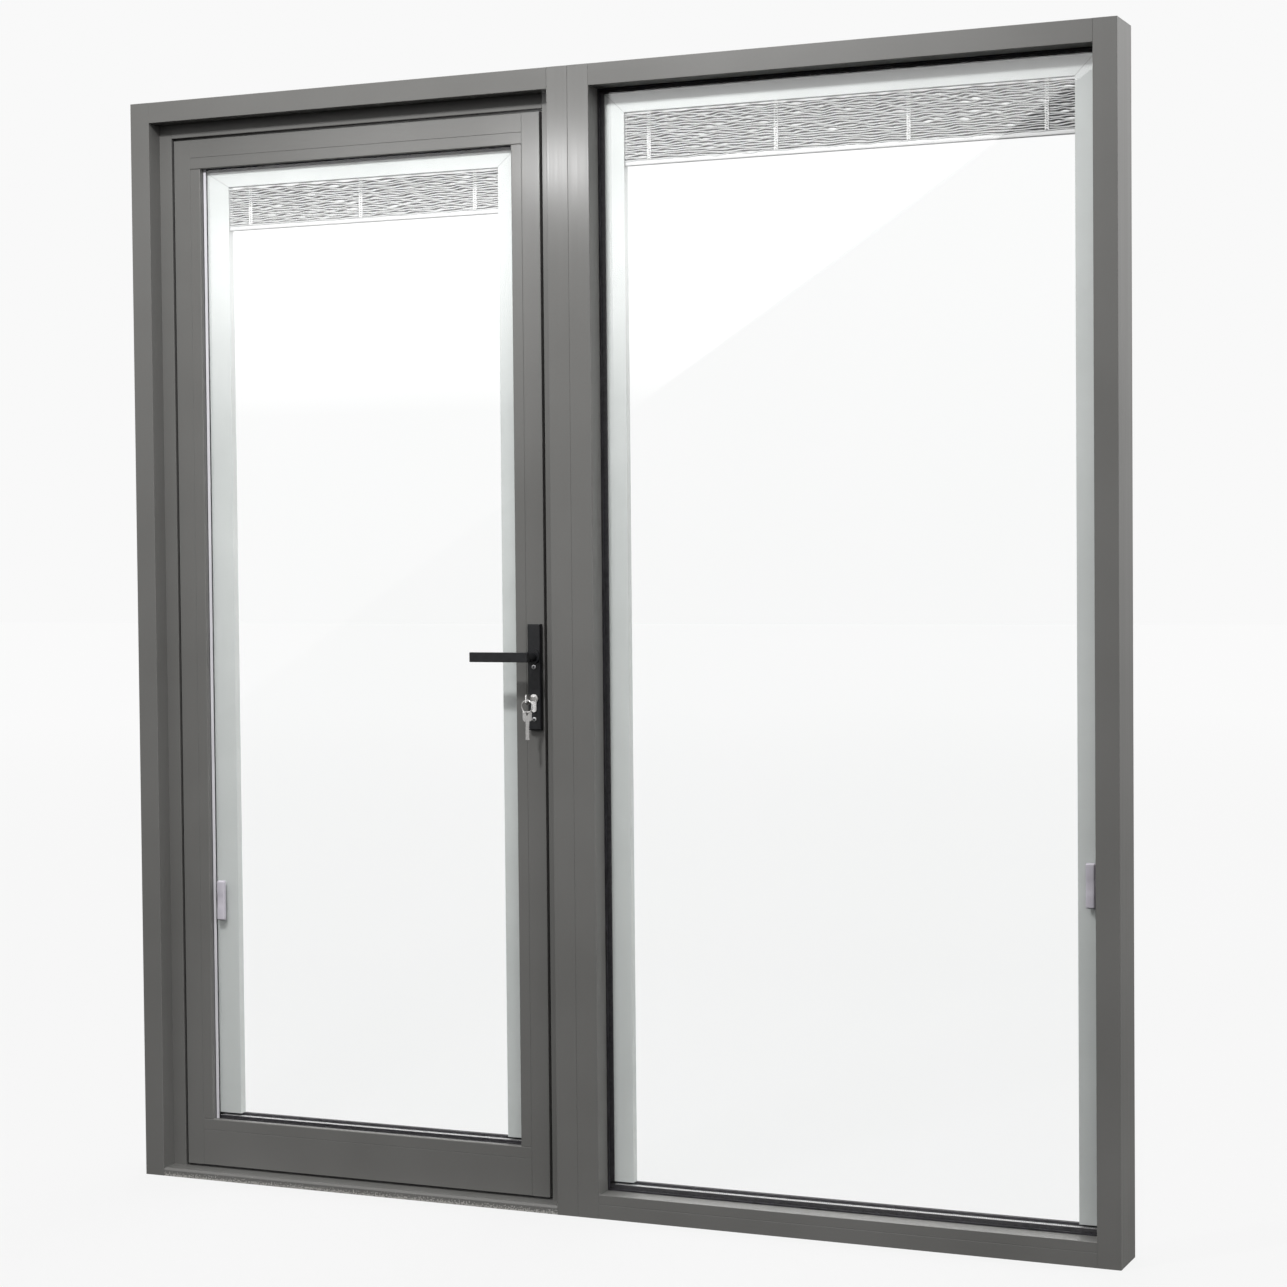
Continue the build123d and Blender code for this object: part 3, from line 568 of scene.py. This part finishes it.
def blind_stack(name, cad_blind, body, tapes, seed):
    """A raised blind: its wavy slats, and the rail under them. Returns the tapes' places."""
    chance = random.Random(seed)
    (x0, y0, z0), (x1, y1, z1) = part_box(cad_blind)
    x0, x1 = x0 - slat_reach, x1 + slat_reach
    middle = (y0 + y1) / 2
    tape_step = (x1 - x0 - 2 * tape_inset) / (tapes - 1)
    tape_xs = [x0 + tape_inset + i * tape_step for i in range(tapes)]
    count = round((z1 - z0 - rail_height) / slat_pitch)
    stations = int((x1 - x0) / station_step)
    bm = bmesh.new()
    for number in range(count):
        neatness = number / (count - 1)
        level = z1 - first_drop - settled_pitch * number + chance.uniform(-level_play, level_play)
        waves = [(chance.uniform(0.03, 0.09), chance.uniform(0, 2 * pi), chance.uniform(0.25, 0.5))
                 for _ in range(3)]
        swing = full_swing * (1.0 - 0.25 * neatness) * (0.6 if number == 0 else 1.0)
        crown = loose_crown + (tight_crown - loose_crown) * sqrt(neatness)
        rows = []
        for i in range(stations + 1):
            x = x0 + (x1 - x0) * i / stations
            held = max(exp(-(((x - t) / tape_hold) ** 2)) for t in tape_xs)
            wave = sum(share * sin(2 * pi * x / length + phase) for length, phase, share in waves)
            rows.append(slat_section(x, middle, level + swing * wave * (1 - 0.7 * held), crown))
        loops(bm, rows)
    rail_top = z0 + rail_height
    bar(bm, (x0, middle - rail_half, z0), (x1, middle + rail_half, rail_top - rail_gap),
        rail_rounding, 3)
    stack = new_piece(name, bm, body, slat_paint)
    # Faces that look down, above the rail, take the painted shade.
    stack.data.materials.append(slat_painted_shade)
    for face in stack.data.polygons:
        if face.normal.z < -0.5 and face.center.z > rail_top:
            face.material_index = 1
    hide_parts(cad_blind)
    return tape_xs


door_tapes = blind_stack("door_blind_slats", "door_blind", "leaf", 3, 11)
window_tapes = blind_stack("window_blind_slats", "window_blind", "frame", 4, 23)

# %% [markdown]
# ## Ladder tapes
# White tapes run down both edges of the slats. In the raised stack they bunch up like lace: loose
# at the top and tight further down. Two strands that cross each other, thicker towards the
# bottom, give that look on each side of the slats.

# %% Ladder tapes
tape_thread, tree, shader = finish("tape_thread", Roughness=0.8, Specular_IOR_Level=0.25,
                                   Sheen_Weight=0.3)
twist = grain(tree, place_on(tree), 1400, 2)
paint(tree, shader, twist, (0.78, 0.78, 0.78), (0.90, 0.90, 0.90))
relief(tree, shader, twist, 0.0001, 0.6)
tape_gap, tape_bulge, tape_steps = 0.0002, 0.0004, 150
lace_height, lace_half, lace_stray = 0.0084, 0.0034, 0.0006


def thread_radius(t):
    """Radius of a strand: thin in the upper third, then growing to three times that."""
    return 0.0003 + 0.0006 * min(1, max(0, (t - 0.35) / 0.25))


def ladder_tapes(name, cad_blind, body, tape_xs, seed):
    """Bunched tapes in front of and behind a stack of slats."""
    chance = random.Random(seed)
    (_, y0, z0), (_, y1, high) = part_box(cad_blind)
    middle, low = (y0 + y1) / 2, z0 + rail_height
    bm = bmesh.new()
    for tape_x in tape_xs:
        for side in (-1, 1):
            face = middle + side * (slat_half + tape_gap)
            for number in range(2):
                phase = chance.uniform(0, 0.8) + number * pi
                path = []
                for i in range(tape_steps + 1):
                    z = high + (low - high) * i / tape_steps
                    wave = 2 * pi * z / lace_height
                    x = tape_x + lace_half * sin(wave + phase)
                    x += lace_stray * sin(wave * 2.3 + 2 * phase)
                    path.append((x, face + side * tape_bulge * (1 + cos(2 * wave + phase)) / 2, z))
                strand(bm, path, thread_radius, 5)
    new_piece(name, bm, body, tape_thread)


ladder_tapes("door_ladder_tapes", "door_blind", "leaf", door_tapes, 5)
ladder_tapes("window_ladder_tapes", "window_blind", "frame", window_tapes, 6)

# %% [markdown]
# ## Spacers of the glass units
# The panes are held apart by a dark spacer. Along the bottom it has a ledge with a bright strip
# on it, punched with a row of holes through which the drying agent inside works, and a raised
# seal behind. The bottom bar is one stepped section swept along the glass, and the strip is a
# real sheet with real holes.

# %% Finishes of the spacers
spacer_coat, tree, shader = finish("spacer_edge", Specular_IOR_Level=0.4)
whole = place_on(tree)
dust = grain(tree, whole, 150, 3)
paint(tree, shader, dust, (0.016, 0.015, 0.018), (0.040, 0.038, 0.043), end=0.75)
roughen(tree, shader, dust, 0.45, 0.65)
relief(tree, shader, grain(tree, whole, 700, 2), 0.00006, 0.4)

bright_strip, tree, shader = finish("spacer_strip", Metallic=0.25, Specular_IOR_Level=0.5)
rolled = grain(tree, place_on(tree, (0.02, 1, 1)), 900, 2)
paint(tree, shader, rolled, (0.88, 0.88, 0.89), (0.96, 0.96, 0.96))
roughen(tree, shader, rolled, 0.24, 0.40)
print(spacer_coat.name, "and", bright_strip.name)

# %% Spacer bars with a stepped bottom
ledge_drop, ledge_depth, spacer_ease = 0.0055, 0.0115, 0.0006
hole_pitch, strip_front, strip_rear, strip_end, strip_lift = 0.004, 0.0012, 0.0006, 0.001, 0.0003


def stepped_spacer(name, cad_spacer, cassette, body):
    """Three plain bars and a bottom bar with a ledge at the front. Returns the ledge's height."""
    (x0, y0, z0), (x1, y1, z1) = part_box(cad_spacer)
    (c0, _, low), (c1, _, high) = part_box(cassette)
    ease = spacer_ease
    bm = bmesh.new()
    bar(bm, (x0, y0, low), (c0, y1, high), ease, 2)
    bar(bm, (c1, y0, low), (x1, y1, high), ease, 2)
    bar(bm, (x0, y0, high), (x1, y1, z1), ease, 2)
    ledge, step = low - ledge_drop, y0 + ledge_depth
    section = [(y0, z0), (y1, z0), (y1, low - ease), (y1 - ease, low), (step + ease, low),
               (step, low - ease), (step, ledge), (y0 + ease, ledge), (y0, ledge - ease)]
    loops(bm, [[(x, y, z) for y, z in section] for x in (x0, x1)])
    made = new_piece(name, bm, body, spacer_coat)
    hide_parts(cad_spacer)
    return ledge


def punched_strip(name, cad_spacer, cassette, body, ledge):
    """A bright strip that lies on the ledge, punched with a row of oblong holes."""
    (_, y0, _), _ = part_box(cad_spacer)
    (c0, _, _), (c1, _, _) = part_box(cassette)
    front, rear = y0 + strip_front, y0 + ledge_depth - strip_rear
    middle, hole_half, hole_deep = (front + rear) / 2, hole_pitch * 0.24, (rear - front) * 0.30
    z = ledge + strip_lift
    bm = bmesh.new()
    for i in range(int((c1 - c0 - 2 * strip_end) / hole_pitch)):
        left = c0 + strip_end + i * hole_pitch
        right, centre = left + hole_pitch, left + hole_pitch / 2
        outer = [(left, front), (right, front), (right, rear), (left, rear)]
        inner = [(centre + a * hole_half, middle + b * hole_deep)
                 for a, b in ((-1, -1), (1, -1), (1, 1), (-1, 1))]
        rim = [bm.verts.new((x, y, z)) for x, y in outer]
        hole = [bm.verts.new((x, y, z)) for x, y in inner]
        for k in range(4):
            after = (k + 1) % 4
            bm.faces.new((rim[k], rim[after], hole[after], hole[k]))
    bmesh.ops.remove_doubles(bm, verts=bm.verts, dist=1e-6)
    new_piece(name, bm, body, bright_strip, smooth=False)


for unit, body in (("door", "leaf"), ("window", "frame")):
    ledge = stepped_spacer(unit + "_spacer_bars", unit + "_spacer", unit + "_cassette", body)
    punched_strip(unit + "_spacer_strip", unit + "_spacer", unit + "_cassette", body, ledge)

# %% [markdown]
# ## Slider rails and sliders
# A white rail with two grooves is stuck along one edge of the glass, and a magnetic slider beside
# it drives the blind. The slider is a soft plastic block: a body with round edges on a thin base,
# with a finger hollow.

# %% Rails and finish of the sliders
rail_paint, tree, shader = finish("rail_coat", Specular_IOR_Level=0.5)
long_lines = grain(tree, place_on(tree, (1, 1, 0.01)), 900, 2)
paint(tree, shader, long_lines, (0.55, 0.54, 0.58), (0.74, 0.73, 0.76))
roughen(tree, shader, long_lines, 0.3, 0.45)
wear(rail_paint, "door_slider_rail", "window_slider_rail")

grip_plastic, tree, shader = finish("slider_plastic", Specular_IOR_Level=0.5, Coat_Weight=0.15)
whole = place_on(tree)
paint(tree, shader, grain(tree, whole, 30, 3), (0.46, 0.44, 0.49), (0.52, 0.50, 0.55))
roughen(tree, shader, grain(tree, whole, 200, 2), 0.34, 0.46)
relief(tree, shader, grain(tree, whole, 1800, 2), 0.00005, 0.5)

# %% Sliders
base_gauge, base_sink, base_rounding, base_margin = 0.0016, 0.0002, 0.0005, 0.0006
grip_rounding, hollow_depth, hollow_reach = 0.0025, 0.0011, 0.33
end_share, grip_rows = 0.07, 40


def blind_slider(name, cad_slider, body):
    """A slider: thin base, rounded body and a shallow finger hollow in the middle of its face."""
    (x0, y0, z0), (x1, y1, z1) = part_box(cad_slider)
    bm = bmesh.new()
    seat = y1 - base_gauge
    bar(bm, (x0, seat, z0), (x1, y1, z1), base_rounding, 2)
    half_x, middle_x, middle_z = (x1 - x0) / 2 - base_margin, (x0 + x1) / 2, (z0 + z1) / 2
    rows = []
    for i in range(grip_rows + 1):
        t = 2 * i / grip_rows - 1
        z = middle_z + t * ((z1 - z0) / 2 - base_margin)
        full = sqrt(max(0.0, 1 - max(0.0, (abs(t) - 1 + end_share) / end_share) ** 2))
        hollow = hollow_depth * exp(-((t / hollow_reach) ** 4))
        front = seat - (seat - y0) * (0.35 + 0.65 * full) + hollow
        left = middle_x - half_x * (0.86 + 0.14 * full)
        ring = [(left, seat + base_sink, z), (left, front + grip_rounding, z)]
        ring += [(left + grip_rounding * (1 - cos(a)), front + grip_rounding * (1 - sin(a)), z)
                 for a in (pi / 6, pi / 3, pi / 2)]
        ring += [(2 * middle_x - px, py, pz) for px, py, pz in reversed(ring)]
        rows.append(ring)
    loops(bm, rows)
    made = new_piece(name, bm, body, grip_plastic)
    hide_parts(cad_slider)


blind_slider("door_slider_grip", "door_slider", "door_slider")
blind_slider("window_slider_grip", "window_slider", "window_slider")

# %% [markdown]
# ## Lever handles
# Plate and lever are cast metal with a black satin coat. The CAD shapes are right, so they only
# need the finish. The two screws in each plate are turned shapes: a low domed ring of bright
# steel round a hexagon socket.

# %% Handle coat and plate screws
black_coat, tree, shader = finish("handle_coat", Specular_IOR_Level=0.32)
whole = place_on(tree)
cast = grain(tree, whole, 90, 4)
paint(tree, shader, cast, (0.008, 0.0085, 0.0095), (0.013, 0.0135, 0.015))
roughen(tree, shader, grain(tree, whole, 350, 2), 0.30, 0.42)
relief(tree, shader, grain(tree, whole, 1500, 3), 0.00006, 0.5)
wear(black_coat, "handle_plate_front", "handle_plate_back", "lever_front", "lever_back")

bright_steel, tree, shader = finish("screw_steel", Metallic=1.0)
whole = place_on(tree)
paint(tree, shader, grain(tree, whole, 400, 3), (0.62, 0.62, 0.63), (0.82, 0.82, 0.83))
roughen(tree, shader, grain(tree, whole, 900, 2), 0.2, 0.36)
plate_screw, plate_screw_levels, screw_lift = 0.0042, (1.008, 0.911), 0.0002


def socket_screw(bm, centre, outward, radius):
    """A screw head: a low dome and a hexagon socket, drawn in shares of the radius."""
    dome = [(1, 0), (1, 0.14), (0.92, 0.22), (0.60, 0.26)]
    socket = [(0.60, 0.26), (0.52, 0.05), (0.05, 0.02)]
    for profile, sides in ((dome, 24), (socket, 6)):
        turned(bm, [(radius * a, radius * b) for a, b in profile], centre, outward, sides)


bm = bmesh.new()
(px0, front_face, _), (px1, _, _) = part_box("handle_plate_front")
back_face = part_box("handle_plate_back")[1][1]
for z in plate_screw_levels:
    socket_screw(bm, ((px0 + px1) / 2, front_face - screw_lift, z), (0, -1, 0), plate_screw)
    socket_screw(bm, ((px0 + px1) / 2, back_face + screw_lift, z), (0, 1, 0), plate_screw)
new_piece("handle_screws", bm, "leaf", bright_steel)

# %% [markdown]
# ## Lock, keys and spindle
# Cylinder and keys are nickel plated brass, bright with fine brush marks. The ring is a split
# ring: one flat wire wound twice. Two turns that step aside half way are closer to the real thing
# than a plain torus.

# %% Nickel and steel
nickel, tree, shader = finish("nickel", Metallic=1.0)
brushed = grain(tree, place_on(tree, (1, 0.05, 1)), 2200, 2)
paint(tree, shader, brushed, (0.72, 0.71, 0.70), (0.88, 0.87, 0.86))
roughen(tree, shader, brushed, 0.18, 0.32)
relief(tree, shader, brushed, 0.00003, 0.3)
wear(nickel, "lock_cylinder", "key", "spare_key")

lock_steel, tree, shader = finish("lock_steel", Metallic=1.0)
drawn = grain(tree, place_on(tree, (1, 1, 0.02)), 1800, 2)
paint(tree, shader, drawn, (0.42, 0.42, 0.42), (0.60, 0.60, 0.60))
roughen(tree, shader, drawn, 0.28, 0.42)
wear(lock_steel, "strike_plate", "lock_forend", "spindle")

# %% Split ring
wire_half, wire_thin, ring_start, step_angle = 0.00085, 0.00044, -0.9, 0.5
ring_rows, wire_sides = 128, 12
(rx0, ry0, rz0), (rx1, ry1, rz1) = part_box("key_ring")
ring_centre = Vector(((rx0 + rx1) / 2, (ry0 + ry1) / 2, (rz0 + rz1) / 2))
ring_radius = (rz1 - rz0) / 2 - wire_half
wire_angles = [2 * pi * k / wire_sides for k in range(wire_sides)]
rows = []
for i in range(ring_rows + 1):
    angle = 4 * pi * i / ring_rows
    outward = Vector((cos(angle + ring_start), 0, sin(angle + ring_start)))
    aside = wire_thin * max(-1, min(1, (angle - 2 * pi) / step_angle))
    middle = ring_centre + ring_radius * outward + Vector((0, aside, 0))
    rows.append([middle + wire_half * cos(a) * outward + Vector((0, wire_thin * sin(a), 0))
                 for a in wire_angles])
bm = bmesh.new()
loops(bm, rows)
split_ring = new_piece("split_ring", bm, "leaf", nickel)
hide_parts("key_ring")

# %% A card of light for the small metal parts
handle_place = (-0.126, 0, 0.98)
metal_card = lamp("metal_card", (-2.3, -4.6, 1.3), handle_place, (1.2, 1.6), 8)
shine_on(metal_card, "lock_cylinder", "key", "spare_key", "split_ring", "handle_screws",
         "handle_plate_front", "lever_front")
print("metal card", round(metal_card.location.length, 2), "m from the middle")

# %% [markdown]
# ## Hinges
# Three lift-off hinges sit on the far side. They share the grey coat. Each hinge leaf is held by
# two screws, and a low domed cap closes each end of the knuckle.

# %% Hinge coat, caps and screws
wear(upright_coat, "hinge_frame_halves", "hinge_leaf_halves")
hinge_x, hinge_y, hinge_levels, knuckle_half = -0.92025, 0.0585, (0.26, 1.06, 1.83), 0.05
hinge_screw, screw_face, screw_aside, screw_steps = 0.0032, 0.0527, 0.024, (0.012, 0.038)
cap_dome = [(0.0088, 0), (0.0088, 0.0008), (0.0078, 0.0020), (0.0052, 0.0030), (0.0010, 0.0034)]

for name, body, side in (("hinge_frame_screws", "frame", -1), ("hinge_leaf_screws", "leaf", 1)):
    bm = bmesh.new()
    for level in hinge_levels:
        for step in screw_steps:
            place = (hinge_x + side * screw_aside, screw_face, level + side * step)
            socket_screw(bm, place, (0, 1, 0), hinge_screw)
    new_piece(name, bm, body, bright_steel)

for name, body, rise in (("hinge_foot_caps", "frame", -1), ("hinge_top_caps", "leaf", 1)):
    bm = bmesh.new()
    for level in hinge_levels:
        turned(bm, cap_dome, (hinge_x, hinge_y, level + rise * knuckle_half), (0, 0, rise), 32)
    new_piece(name, bm, body, upright_coat)
